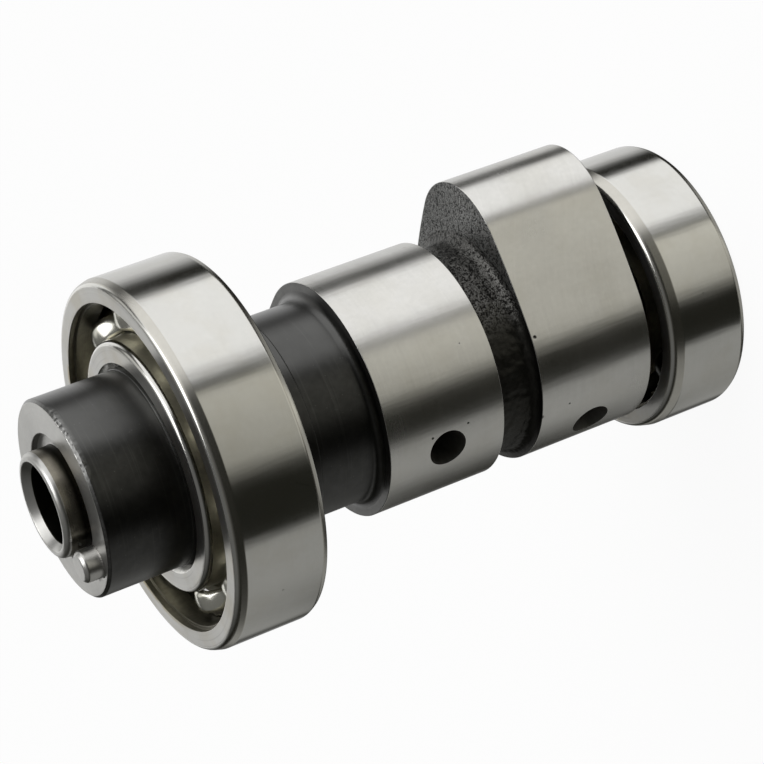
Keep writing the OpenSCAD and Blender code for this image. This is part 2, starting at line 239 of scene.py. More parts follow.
def corner_arc(before, at, after, radius):
    """Points that round the corner at between its two neighbours, in (r, z)."""
    a, b, c = (np.array(p, float) for p in (before, at, after))
    into, out = a - b, c - b
    into_length, out_length = np.linalg.norm(into), np.linalg.norm(out)
    into, out = into / into_length, out / out_length
    half = math.acos(max(-1, min(1, into @ out))) / 2
    if half > FLAT_ANGLE or radius <= 0:
        return [tuple(b)]
    back = min(radius / math.tan(half), CORNER_SHARE * into_length, CORNER_SHARE * out_length)
    start, end = b + into * back, b + out * back
    steps = 3 if radius < 0.2 * MM else 6
    shares = [i / steps for i in range(steps + 1)]
    return [tuple((1 - t) ** 2 * start + 2 * t * (1 - t) * b + t ** 2 * end) for t in shares]


def braces(start, end):
    """Points just inside the ends of a straight stretch, so that only its corners shade smoothly."""
    length = math.hypot(end[0] - start[0], end[1] - start[1])
    if length < 0.3 * MM:
        return []
    return [(start[0] + (end[0] - start[0]) * t, start[1] + (end[1] - start[1]) * t)
            for t in (BRACE / length, 1 - BRACE / length)]


def profile(points, radius, closed=False):
    """An outline in (r, z) with rounded corners. A point may give its own radius as a third number."""
    corners = []
    count = len(points)
    for i, point in enumerate(points):
        if not closed and i in (0, count - 1):
            corners.append([point[:2]])
            continue
        own = point[2] if len(point) > 2 else radius
        corners.append(corner_arc(points[i - 1][:2], point[:2], points[(i + 1) % count][:2], own))
    rows = []
    for i, corner in enumerate(corners):
        rows += corner
        if closed or i < count - 1:
            rows += braces(corner[-1], corners[(i + 1) % count][0])
    return rows


def filled(rows, longest):
    """The same outline with long stretches divided."""
    made = []
    for (r0, z0), (r1, z1) in zip(rows, rows[1:]):
        parts = max(1, math.ceil(math.hypot(r1 - r0, z1 - z0) / longest))
        made += [(r0 + (r1 - r0) * i / parts, z0 + (z1 - z0) * i / parts) for i in range(parts)]
    return made + [rows[-1]]


def arc(centre, radius, start, end, steps):
    """Points on an arc in (r, z), angles in degrees."""
    turns = [math.radians(start + (end - start) * i / steps) for i in range(steps + 1)]
    return [(centre[0] + radius * math.cos(t), centre[1] + radius * math.sin(t)) for t in turns]


def spun(rows, steps, closed=False):
    """Vertices and faces of an outline in (r, z) spun about the shaft's axis."""
    turns = np.arange(steps) * TURN / steps
    verts, ring = [], []
    for r, z in rows:
        if r < 1e-7:
            ring.append([len(verts)] * steps)
            verts.append((0, 0, z))
            continue
        ring.append(list(range(len(verts), len(verts) + steps)))
        verts += [(r * math.cos(t), r * math.sin(t), z) for t in turns]
    faces = []
    for low, high in list(zip(ring, ring[1:])) + ([(ring[-1], ring[0])] if closed else []):
        for i in range(steps):
            j = (i + 1) % steps
            faces.append(tuple(dict.fromkeys((low[i], low[j], high[j], high[i]))))
    return verts, faces


def looped(rows, count):
    """Faces between closed rows of count points each, with the last row joined to the first."""
    faces = []
    for row in range(rows):
        low, high = row * count, (row + 1) % rows * count
        faces += [(low + i, low + (i + 1) % count, high + (i + 1) % count, high + i) for i in range(count)]
    return faces


def moved(verts, x, y, z=0):
    return [(vx + x, vy + y, vz + z) for vx, vy, vz in verts]


def piece(name, verts, faces, steels, body, replaces):
    """A finished mesh that rides on a body of the frame and stands for CAD nodes."""
    mesh = bpy.data.meshes.new(name)
    mesh.from_pydata(verts, [], faces)
    mesh.validate()
    shade(mesh)
    obj = bpy.data.objects.new(name, mesh)
    bpy.context.scene.collection.objects.link(obj)
    for key in steels:
        mesh.materials.append(steel(key))
    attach(obj, body)
    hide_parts(*replaces)
    return obj


def shade(mesh):
    """Consistent outward normals, smooth except at sharp edges."""
    work = bmesh.new()
    work.from_mesh(mesh)
    bmesh.ops.recalc_face_normals(work, faces=work.faces)
    work.to_mesh(mesh)
    work.free()
    mesh.shade_smooth()
    mesh.set_sharp_from_angle(angle=SHARP_ANGLE)


def cut(obj, cutter):
    """Takes the cutter's shape out of obj and removes the cutter."""
    modifier = obj.modifiers.new("Cut", "BOOLEAN")
    modifier.operation = "DIFFERENCE"
    modifier.solver = "EXACT"
    modifier.object = cutter
    view = bpy.context.evaluated_depsgraph_get()
    made = bpy.data.meshes.new_from_object(obj.evaluated_get(view), depsgraph=view)
    obj.modifiers.clear()
    old, obj.data = obj.data, made
    bpy.data.meshes.remove(old)
    bpy.data.objects.remove(cutter)
    obj.data.shade_smooth()
    obj.data.set_sharp_from_angle(angle=SHARP_ANGLE)


def cutter(rows, steps, place):
    """A closed cutting shape, spun from rows and put in place by a matrix."""
    verts, faces = spun(rows, steps)
    mesh = bpy.data.meshes.new("cutter")
    mesh.from_pydata(verts, [], faces)
    mesh.transform(place)
    shade(mesh)
    obj = bpy.data.objects.new("cutter", mesh)
    bpy.context.scene.collection.objects.link(obj)
    return obj


def zone(obj, index, test):
    """Gives the faces for which test(centre, normal, distance from the axis) holds the material index."""
    for face in obj.data.polygons:
        centre = face.center
        if test(centre, face.normal, math.hypot(centre.x, centre.y)):
            face.material_index = index


def outwards(centre, normal, radius):
    """How far a face looks away from the axis, from -1 to 1."""
    return (centre.x * normal.x + centre.y * normal.y) / max(radius, 1e-9)


# Nodes

def feed(tree, socket, value):
    """Links a socket to another one or sets its value, and leaves it alone for None."""
    if isinstance(value, bpy.types.NodeSocket):
        tree.links.new(value, socket)
    elif value is not None:
        socket.default_value = value


def put(tree, kind, options=None, **inputs):
    """A node with its options set and its inputs fed. An underscore in a name stands for a space."""
    made = tree.nodes.new(kind)
    for name, value in (options or {}).items():
        setattr(made, name, value)
    for name, value in inputs.items():
        feed(tree, made.inputs[name.replace("_", " ")], value)
    return made


def calc(tree, operation, *values):
    """Output of a Math node."""
    made = put(tree, "ShaderNodeMath", {"operation": operation})
    for socket, value in zip(made.inputs, values):
        feed(tree, socket, value)
    return made.outputs[0]


def plus(tree, first, second):
    return calc(tree, "ADD", first, second)


def minus(tree, first, second):
    return calc(tree, "SUBTRACT", first, second)


def times(tree, first, second):
    return calc(tree, "MULTIPLY", first, second)


def spread(tree, value, low, high, to_low=0, to_high=1, kind="LINEAR"):
    """Value from low to high, mapped and clamped to another range."""
    made = put(tree, "ShaderNodeMapRange", {"interpolation_type": kind}, Value=value, From_Min=low,
               From_Max=high, To_Min=to_low, To_Max=to_high)
    return made.outputs[0]


def between(tree, value, bottom, bottom_soft, top, top_soft):
    """1 where a value lies between two limits and 0 elsewhere, with soft edges."""
    rise, fall = [
        spread(tree, value, minus(tree, at, soft), plus(tree, at, soft), way, 1 - way, "SMOOTHSTEP")
        for at, soft, way in ((bottom, bottom_soft, 0), (top, top_soft, 1))]
    return times(tree, rise, fall)


def blended(tree, factor, first, second, mode="MIX"):
    """Output of a colour Mix node. Colours are sockets or three numbers."""
    made = put(tree, "ShaderNodeMix", {"data_type": "RGBA", "blend_type": mode})
    for index, value in ((0, factor), (6, first), (7, second)):
        plain_colour = index and not isinstance(value, bpy.types.NodeSocket)
        feed(tree, made.inputs[index], (*value, 1) if plain_colour else value)
    return made.outputs[2]


def laid(tree, base, colour, cover, strength):
    """A base with a colour laid over it as far as a mask and a strength say."""
    return blended(tree, times(tree, cover, strength), base, colour)


def noise_of(tree, at, scale, detail, roughness=0.5):
    made = put(tree, "ShaderNodeTexNoise", Vector=at, Scale=scale, Detail=detail, Roughness=roughness)
    return made.outputs[0]


def bump(tree, height, distance, strength, normal=None, invert=False):
    """Normal that follows a height, on top of another normal."""
    made = put(tree, "ShaderNodeBump", {"invert": invert}, Strength=strength, Distance=distance,
               Height=height, Normal=normal)
    return made.outputs[0]


def arrange(tree):
    """Lays the nodes out in columns, from the output on the right to the inputs on the left."""
    depth = {n: 0 for n in tree.nodes}
    for _ in range(len(tree.nodes)):
        for link in tree.links:
            depth[link.from_node] = max(depth[link.from_node], depth[link.to_node] + 1)
    rows = {}
    for node in tree.nodes:
        column = depth[node]
        rows[column] = rows.get(column, 0) + 1
        node.location = (-220 * column, -190 * rows[column])


def node_group(name, inputs, outputs, build):
    """A shader node group with named sockets. build(tree, inputs) returns the outputs' sources in order."""
    tree = bpy.data.node_groups.new(name, "ShaderNodeTree")
    for label, value in inputs.items():
        kind = "NodeSocketVector" if isinstance(value, tuple) else "NodeSocketFloat"
        tree.interface.new_socket(label, in_out="INPUT", socket_type=kind).default_value = value
    for label in outputs:
        tree.interface.new_socket(label, in_out="OUTPUT", socket_type="NodeSocketFloat")
    entry, leave = tree.nodes.new("NodeGroupInput"), tree.nodes.new("NodeGroupOutput")
    for label, source in zip(outputs, build(tree, entry.outputs)):
        feed(tree, leave.inputs[label], source)
    arrange(tree)
    return tree


def placed(tree, name, **inputs):
    """Outputs of a shared group, put in a tree with its inputs fed. The group is built at its first use."""
    label, defaults, outputs, build = GROUPS_OF_NODES[name]
    made = put(tree, "ShaderNodeGroup")
    made.node_tree = bpy.data.node_groups.get(label) or node_group(label, defaults, outputs, build)
    for key, value in inputs.items():
        feed(tree, made.inputs[key.replace("_", " ")], value)
    return made.outputs


def mask(tree, name, **inputs):
    """Output of a shared group that gives one value."""
    return placed(tree, name, **inputs)[0]


def clouds(tree, place, scale, level, softness):
    return mask(tree, "blotch", Place=place, Scale=scale, Level=level, Softness=softness)


def sector(tree, place, start, start_soft, end, end_soft):
    return mask(tree, "sector", Place=place, Start=start, Start_softness=start_soft, End=end,
                End_softness=end_soft)


def on_shaft(tree, place):
    """Height over the floor, distance from the axis, and the direction from the axis as two numbers."""
    x, y, z = put(tree, "ShaderNodeSeparateXYZ", Vector=place).outputs
    radius = calc(tree, "SQRT", plus(tree, times(tree, x, x), times(tree, y, y)))
    return z, radius, calc(tree, "DIVIDE", x, radius), calc(tree, "DIVIDE", y, radius)


def drawn_around(tree, place, breaks, per_metre, detail, roughness=0.5, on_faces=True):
    """Noise drawn out around the axis: it follows height, and radius too on faces, with some breaks."""
    height, radius, east, north = on_shaft(tree, place)
    along = times(tree, plus(tree, height, radius) if on_faces else height, per_metre)
    at = put(tree, "ShaderNodeCombineXYZ", X=times(tree, east, breaks), Y=times(tree, north, breaks), Z=along)
    return noise_of(tree, at.outputs[0], 1, detail, roughness)


def build_turning(tree, inputs):
    """Fine rings left by the tool."""
    return [drawn_around(tree, inputs["Place"], inputs["Breaks"], inputs["Rings per metre"], 3, 0.6)]


def build_waves(tree, inputs):
    """Slight waves around the axis, as grinding leaves them."""
    return [drawn_around(tree, inputs["Place"], inputs["Waves"], 90, 2, on_faces=False)]


def build_scratches(tree, inputs):
    """Thin bright lines that run around the axis for a way, as handling leaves them."""
    lines = drawn_around(tree, inputs["Place"], 1.1, inputs["Lines per metre"], 1)
    return [spread(tree, lines, inputs["Level"], plus(tree, inputs["Level"], 0.1))]


def build_blotch(tree, inputs):
    """Soft clouds of a given size, from 0 to 1."""
    cloud = noise_of(tree, inputs["Place"], inputs["Scale"], 3, 0.55)
    low = minus(tree, inputs["Level"], times(tree, inputs["Softness"], 0.5))
    return [spread(tree, cloud, low, plus(tree, low, inputs["Softness"]))]


def build_specks(tree, inputs):
    """Round specks: one in each cell of a Voronoi pattern, kept where a random value says so."""
    cells = put(tree, "ShaderNodeTexVoronoi", Vector=inputs["Place"], Scale=inputs["Scale"], Randomness=1)
    chance = put(tree, "ShaderNodeSeparateColor", Color=cells.outputs["Color"]).outputs[0]
    kept = calc(tree, "LESS_THAN", chance, inputs["Share"])
    return [times(tree, kept, spread(tree, cells.outputs["Distance"], inputs["Size"], 0))]


def build_skin(tree, inputs):
    """The pebbled skin of a forging: round grains of two sizes, deep gaps between them, and worn tops."""
    drift = noise_of(tree, inputs["Place"], inputs["Scale"], 1)
    grains = []
    for size, softness, weight in ((1, 0.5, 0.55), (0.43, 0.6, 0.45)):
        scale = times(tree, inputs["Scale"], size)
        cells = put(tree, "ShaderNodeTexVoronoi", {"feature": "SMOOTH_F1"}, Vector=inputs["Place"],
                    Scale=scale, Smoothness=softness, Randomness=1).outputs["Distance"]
        grains.append(times(tree, spread(tree, cells, 0.75, 0.1), weight))
    uneven = plus(tree, plus(tree, *grains), times(tree, minus(tree, drift, 0.5), 0.35))
    return [uneven, spread(tree, uneven, 0.42, 0.22), spread(tree, uneven, 0.56, 0.82)]


def build_sector(tree, inputs):
    """1 between two directions about the axis, in degrees, and 0 elsewhere, with soft edges."""
    x, y, _ = put(tree, "ShaderNodeSeparateXYZ", Vector=inputs["Place"]).outputs
    turn = calc(tree, "DEGREES", calc(tree, "ARCTAN2", y, x))
    middle = times(tree, plus(tree, inputs["Start"], inputs["End"]), 0.5)
    half = times(tree, minus(tree, inputs["End"], inputs["Start"]), 0.5)
    off = calc(tree, "WRAP", minus(tree, turn, middle), 180, -180)
    return [between(tree, off, minus(tree, 0, half), inputs["Start softness"], half, inputs["End softness"])]


def build_band(tree, inputs):
    """1 where a value lies between two limits and 0 elsewhere."""
    soft = inputs["Softness"]
    return [between(tree, inputs["Value"], inputs["Bottom"], soft, inputs["Top"], soft)]


def build_spot(tree, inputs):
    """A round spot about a place, from 1 in its middle to 0 at its rim."""
    away = put(tree, "ShaderNodeVectorMath", {"operation": "DISTANCE"})
    feed(tree, away.inputs[0], inputs["Place"])
    feed(tree, away.inputs[1], inputs["Middle"])
    return [spread(tree, away.outputs["Value"], inputs["Radius"], 0, 0, 1, "SMOOTHSTEP")]


# Shared groups: label, inputs with their defaults, outputs and builder
PLACE = (0.0, 0.0, 0.0)
GROUPS_OF_NODES = {
    "turning": ("Turning rings", {"Place": PLACE, "Rings per metre": 5000, "Breaks": 1}, ("Rings",),
                build_turning),
    "waves": ("Grinding waves", {"Place": PLACE, "Waves": 12}, ("Height",), build_waves),
    "scratches": ("Scratches", {"Place": PLACE, "Lines per metre": 2500, "Level": 0.62}, ("Mask",),
                  build_scratches),
    "blotch": ("Blotches", {"Place": PLACE, "Scale": 150, "Level": 0.5, "Softness": 0.3}, ("Mask",),
               build_blotch),
    "specks": ("Specks", {"Place": PLACE, "Scale": 500, "Share": 0.05, "Size": 0.3}, ("Mask",), build_specks),
    "skin": ("Forged skin", {"Place": PLACE, "Scale": 2000}, ("Height", "Pits", "Tops"), build_skin),
    "sector": ("Sector", {"Place": PLACE, "Start": 0, "Start softness": 5, "End": 90, "End softness": 5},
               ("Mask",), build_sector),
    "band": ("Band", {"Value": 0, "Bottom": 0, "Top": 1, "Softness": 0.1}, ("Mask",), build_band),
    "spot": ("Spot", {"Place": PLACE, "Middle": PLACE, "Radius": 0.0002}, ("Mask",), build_spot),
}


# Materials

# Small pits in the ground faces: height in mm, direction in degrees and radius in mm
PITS = ((28.4, -36.5, 0.22), (39.5, -64, 0.14), (44.5, -65, 0.15), (38.1, -27, 0.08), (24.9, -75.5, 0.12),
        (28.9, -77.5, 0.3))
# Small marks on the bearings' outsides, in the same way
RING_MARKS = ((69.6, -82.8, 0.16), (66.4, -48.9, 0.12), (66.1, -49.4, 0.12), (65.8, -49.9, 0.12),
              (65.5, -50.3, 0.12), (65.2, -50.7, 0.12), (5.6, -42.8, 0.12), (3.5, -48.1, 0.12))
SPOT_RIM = 1.4  # a spot fades out at this many times its radius

# Colours of wear and dirt, and of painted shade
WARM_OIL = (0.42, 0.39, 0.30)
SPECK = (0.25, 0.24, 0.21)
PIT = (0.03, 0.028, 0.025)
RING_MARK = (0.12, 0.11, 0.09)
# Painted shade at the foot of the spigot, in the relief groove
ROOT_SHADE = (0.02, 0.018, 0.013)
DUST = (0.16, 0.16, 0.155)
BARED = (0.18, 0.18, 0.175)
# Painted shade in the gouges along the nose's dented edge
DENT_SHADE = (0.02, 0.02, 0.018)
WORN_SCALE = (0.24, 0.24, 0.235)
# Painted shade on the forging's lower side
LOWER_SIDE_SHADE = (0.04, 0.039, 0.035)


def darker(colour, share):
    return tuple(share * c for c in colour)


def spots(tree, place, marks, surface):
    """Mask of small round marks on a cylinder of a given radius."""
    found = None
    for height, turn, radius in marks:
        angle = math.radians(turn)
        middle = (surface * math.cos(angle), surface * math.sin(angle), height * MM)
        spot = mask(tree, "spot", Place=place, Middle=middle, Radius=radius * SPOT_RIM * MM)
        found = spot if found is None else plus(tree, found, spot)
    return found


def pitted(tree, place, base, normal):
    """Adds the small pits of the ground faces, faint specks and warm clouds of old oil."""
    deep = spots(tree, place, PITS, settings()[1].base)
    oil = clouds(tree, place, scale=190, level=0.56, softness=0.25)
    base = laid(tree, base, WARM_OIL, oil, 0.12)
    specks = mask(tree, "specks", Place=place, Scale=700, Share=0.03, Size=0.2)
    base = laid(tree, base, SPECK, specks, 0.6)
    return blended(tree, deep, base, PIT), bump(tree, deep, 6e-5, 1, normal, True)


def marked(tree, place, base, normal):
    """Adds faint clouds of old oil and a few small marks to the bearings' outsides."""
    oil = clouds(tree, place, scale=210, level=0.56, softness=0.2)
    base = laid(tree, base, colour_of("tint"), oil, 0.08)
    for node in ("front_outer_ring", "rear_outer_ring"):
        _, surface, low, high = reach(node)
        marks = spots(tree, place, [m for m in RING_MARKS if low < m[0] * MM < high], surface)
        base = laid(tree, base, RING_MARK, marks, 0.6)
    return base, normal


def stained(tree, place, base, normal):
    """Adds dried oil around the inner edge of the outer rings' faces, and scuffs."""
    _, radius, _, _ = on_shaft(tree, place)
    inner_edge = reach("front_outer_ring")[0] + settings()[2].seal_step
    ring = mask(tree, "band", Value=radius, Bottom=inner_edge - 0.3 * MM, Top=inner_edge + 0.45 * MM,
                Softness=0.25 * MM)
    side = spread(tree, sector(tree, place, start=95, start_soft=15, end=215, end_soft=25), 0, 1, 0.12, 1)
    patch = clouds(tree, place, scale=260, level=0.47, softness=0.2)
    rim = times(tree, times(tree, ring, side), patch)
    haze = times(tree, clouds(tree, place, scale=160, level=0.56, softness=0.2), 0.3)
    base = blended(tree, calc(tree, "MAXIMUM", rim, haze), base, colour_of("tint"))
    scuffs = mask(tree, "scratches", Place=place, Lines_per_metre=3500, Level=0.6)
    return laid(tree, base, darker(colour_of("face"), 0.5), scuffs, 0.35), normal


def shaded_root(tree, place, base, normal):
    """Paints shade on the foot of the spigot, fully dark from the nose face's height down into the groove."""
    nose_z, shade_height = nose_height(), 1.3 * MM
    height, _, _, _ = on_shaft(tree, place)
    return blended(tree, spread(tree, height, nose_z + shade_height, nose_z), base, ROOT_SHADE), normal


def worn_oxide(tree, place, base, normal):
    """Paints a sheen on the nose and neck's oxide where the key light reflects, rubs it thin in patches, and
    bares the dented front edge with painted shade in its gouges.
    """
    s, _, _ = settings()
    thin = colour_of("rubbed")
    patch = clouds(tree, place, scale=170, level=0.42, softness=0.45)
    # Painted sheen: lighter oxide where the key light reflects; far-side patches are real rubbing
    painted_sheen_side = sector(tree, place, start=-9, start_soft=7, end=34, end_soft=9)
    far_side = times(tree, sector(tree, place, start=120, start_soft=20, end=200, end_soft=20), patch)
    rubbed = calc(tree, "MAXIMUM", painted_sheen_side, far_side)
    base = blended(tree, times(tree, rubbed, spread(tree, patch, 0, 1, 0.35, 0.8)), base, thin)
    mottle = clouds(tree, place, scale=900, level=0.52, softness=0.5)
    base = laid(tree, base, darker(thin, 0.75), mottle, 0.45)
    dust = mask(tree, "specks", Place=place, Scale=2600, Share=0.06, Size=0.3)
    lines = mask(tree, "scratches", Place=place, Lines_per_metre=3600, Level=0.6)
    light = calc(tree, "MAXIMUM", times(tree, dust, 0.4), times(tree, lines, 0.1))
    base = blended(tree, light, base, DUST)
    height, radius, _, _ = on_shaft(tree, place)
    out, down = minus(tree, radius, s.boss), minus(tree, height, nose_height())
    from_edge = calc(tree, "SQRT", plus(tree, times(tree, out, out), times(tree, down, down)))
    dents = sector(tree, place, start=math.degrees(s.dent_start), start_soft=4,
                   end=math.degrees(s.dent_end), end_soft=4)
    wide = spread(tree, dents, 0, 1, 0.4 * MM, 0.95 * MM)
    edge = spread(tree, from_edge, wide, times(tree, wide, 0.45))
    knocks = spread(tree, clouds(tree, place, scale=2300, level=0.53, softness=0.1), 0, 1, 0.45, 0.85)
    base = blended(tree, times(tree, edge, knocks), base, BARED)
    # The gouges are sunk by the bump and darkened with painted shade
    gouges = mask(tree, "specks", Place=place, Scale=1300, Share=0.45, Size=0.42)
    shaded_gouges = times(tree, gouges, times(tree, edge, dents))
    return blended(tree, shaded_gouges, base, DENT_SHADE), bump(tree, shaded_gouges, 1e-4, 0.8, normal, True)


def turned(tree, place, colour, roughness, rings, ring_depth, marks, wave_depth=0, wear=None):
    """Steel with a number of fine rings per metre, marks that darken it, slight waves and some wear."""
    line = mask(tree, "turning", Place=place, Rings_per_metre=rings)
    cloud = clouds(tree, place, scale=110, level=0.52, softness=0.4)
    grain = clouds(tree, place, scale=1500, level=0.5, softness=0.6)
    base = laid(tree, colour, darker(colour, 0.5), plus(tree, line, plus(tree, cloud, grain)), marks)
    rough = plus(tree, roughness - 0.04, times(tree, plus(tree, line, cloud), 0.05))
    normal = bump(tree, mask(tree, "waves", Place=place), wave_depth, 1) if wave_depth else None
    normal = bump(tree, line, ring_depth, 0.7, normal)
    if wear:
        base, normal = wear(tree, place, base, normal)
    return base, rough, normal


def forged(tree, place, colour, roughness, grains, depth):
    """Scale with the pebbled skin of a forging, lighter where it is rubbed, smooth below and made black there
    with painted shade.
    """
    skin = placed(tree, "skin", Place=place, Scale=grains)
    cloud = clouds(tree, place, scale=160, level=0.5, softness=0.5)
    pebbled_unshaded_side = sector(tree, place, start=-24, start_soft=12, end=200, end_soft=15)
    base = laid(tree, colour, darker(colour, 0.6), cloud, 0.5)
    base = laid(tree, base, WORN_SCALE, skin["Tops"], 0.3)
    base = blended(tree, skin["Pits"], base, darker(colour, 0.15))
    # Painted shade: outside the pebbled sector the scale is made nearly black
    base = blended(tree, pebbled_unshaded_side, LOWER_SIDE_SHADE, base)
    rough = plus(tree, roughness - 0.06, times(tree, cloud, 0.12))
    height = times(tree, skin["Height"], spread(tree, pebbled_unshaded_side, 0, 1, 0.15, 1))
    return base, rough, bump(tree, height, depth, 0.9)


def plain(tree, place, colour, roughness):
    """Smooth steel with faint clouds."""
    cloud = clouds(tree, place, scale=300, level=0.55, softness=0.4)
    base = laid(tree, colour, darker(colour, 0.6), cloud, 0.25)
    return base, plus(tree, roughness, times(tree, cloud, 0.06))


# Steels: builder, roughness, and what else the builder takes, with depths in metres
STEELS = {
    "ground": (turned, 0.24, dict(rings=4200, ring_depth=0.8e-6, marks=0.1, wave_depth=1.5e-5, wear=pitted)),
    "bearing": (turned, 0.14, dict(
        rings=6000, ring_depth=0.4e-6, marks=0.07, wave_depth=1.5e-5, wear=marked)),
    "face": (turned, 0.3, dict(rings=5000, ring_depth=1e-6, marks=0.1, wear=stained)),
    "chamfer": (turned, 0.24, dict(rings=3000, ring_depth=0.5e-6, marks=0.12)),
    "race": (turned, 0.4, dict(rings=3000, ring_depth=3e-6, marks=0.5)),
    "machined": (turned, 0.34, dict(rings=5000, ring_depth=1.5e-6, marks=0.2)),
    # The spigot's side darkens towards its foot with painted shade
    "spigot": (turned, 0.28, dict(rings=4000, ring_depth=2e-6, marks=0.45, wear=shaded_root)),
    "land": (turned, 0.5, dict(rings=3000, ring_depth=3e-6, marks=0.4)),
    "turned": (turned, 0.36, dict(rings=4000, ring_depth=3e-6, marks=0.3)),
    "oxide": (turned, 0.33, dict(rings=2600, ring_depth=4e-6, marks=0.25, wear=worn_oxide)),
    "forged": (forged, 0.45, dict(grains=5200, depth=7e-5)),
    "scale": (forged, 0.45, dict(grains=4600, depth=8e-5)),
    "drilled": (plain, 0.5, {}),
    "cage": (plain, 0.2, {}),
    # Near-black steel of painted shade, for the bore and the rear bearing's gap
    "oily": (plain, 0.3, {}),
    "ball": (plain, 0.03, {}),
}
# Film of oil that lies on a steel, from 0 to 1
OIL_FILMS = {"oxide": 0.65}


def steel(key):
    """A finish by its short name, made at its first use."""
    name = f"{key.capitalize()} steel"
    if name in bpy.data.materials:
        return bpy.data.materials[name]
    build, roughness, sizes = STEELS[key]
    material = bpy.data.materials.new(name)
    material.use_nodes = True
    tree = material.node_tree
    sockets = tree.nodes["Principled BSDF"].inputs
    sockets["Metallic"].default_value = 1
    sockets["Roughness"].default_value = roughness
    if key in OIL_FILMS:
        sockets["Coat Weight"].default_value = OIL_FILMS[key]
        sockets["Coat Roughness"].default_value = roughness
    place = put(tree, "ShaderNodeTexCoord").outputs["Object"]
    sources = build(tree, place, colour_of(key), roughness, **sizes)
    for label, source in zip(("Base Color", "Roughness", "Normal"), sources):
        feed(tree, sockets[label], source)
    arrange(tree)
    return material


# Pieces

def shaft_outline(s, lobes, nose_z):
    """Outline of the shaft from its rear end, over its outside, to the end of its oil gallery."""
    rear_ring, front_ring = reach("rear_inner_ring"), reach("front_inner_ring")
    rear_top, front_top = lobes.rear_z + lobes.width, lobes.front_z + lobes.width
    over, hidden = lobes.overlap, s.neck - lobes.overlap
    spigot, bore, tip_z = mount("nose_spigot"), mount("bolt_bore"), reach("camshaft")[3]
    e, soft, edge_zone = s.edge_break, 0.15 * MM, 1.2 * MM
    shoulder_z, step_z = front_ring[2] - s.shoulder_length, front_ring[2] - s.step_length
    groove_z, bore_floor = nose_z - s.groove_depth, tip_z - s.bore_depth
    cone = 1 / math.tan(s.drill_half_angle)
    rear = profile([
        (0, s.end_recess), (s.rear_seat, s.end_recess, e), (s.rear_seat, rear_ring[3]),
        (s.tail, rear_ring[3]), (s.tail, lobes.rear_z + over), (hidden, lobes.rear_z + over),
        (hidden, rear_top - over), (s.middle + s.middle_fillet, rear_top - over)], 0)
    lower = arc((s.middle + s.middle_fillet, rear_top + s.middle_fillet), s.middle_fillet, 270, 180, 10)
    upper = arc((s.middle + s.back_fillet, lobes.front_z - s.back_fillet), s.back_fillet, 180, 90, 6)
    buried = [(s.middle + s.back_fillet, lobes.front_z + over), (hidden, lobes.front_z + over),
              (hidden, front_top - over), (s.neck + s.neck_fillet, front_top - over)]
    neck = arc((s.neck + s.neck_fillet, front_top + s.neck_fillet), s.neck_fillet, 270, 180, 8)
    front = profile([
        neck[-1], (s.neck, step_z, soft), (s.step, step_z, e), (s.step, shoulder_z, soft),
        (s.shoulder, shoulder_z, e), (s.shoulder, front_ring[2]), (s.front_seat, front_ring[2]),
        (s.front_seat, front_ring[3]), (s.boss, front_ring[3]), (s.boss, nose_z - edge_zone)], 0.05 * MM)
    edge = filled(profile([
        (s.boss, nose_z - edge_zone), (s.boss, nose_z - s.boss_chamfer), (s.boss - s.boss_chamfer, nose_z),
        (s.boss - edge_zone, nose_z)], 0.12 * MM), 0.1 * MM)
    relief = profile([
        (s.boss - edge_zone, nose_z), (s.groove, nose_z, 0.2 * MM), (s.groove, groove_z, 0.3 * MM),
        (spigot, groove_z, soft), (spigot, tip_z - s.spigot_lip)], 0)
    lip = arc((spigot - s.spigot_lip, tip_z - s.spigot_lip), s.spigot_lip, 0, 90, 9)
    mouth = profile([
        lip[-1], (bore + s.mouth_chamfer, tip_z, soft), (bore, tip_z - s.mouth_depth, 0.1 * MM),
        (bore, bore_floor), (s.gallery, bore_floor - (bore - s.gallery) * cone),
        (s.gallery, s.gallery_floor), (0, s.gallery_floor - s.gallery * cone)], 0)
    outside = rear + filled(lower + upper, 0.2 * MM) + buried + neck + front[1:]
    return outside + edge[1:] + relief[1:] + lip[1:] + mouth[1:]


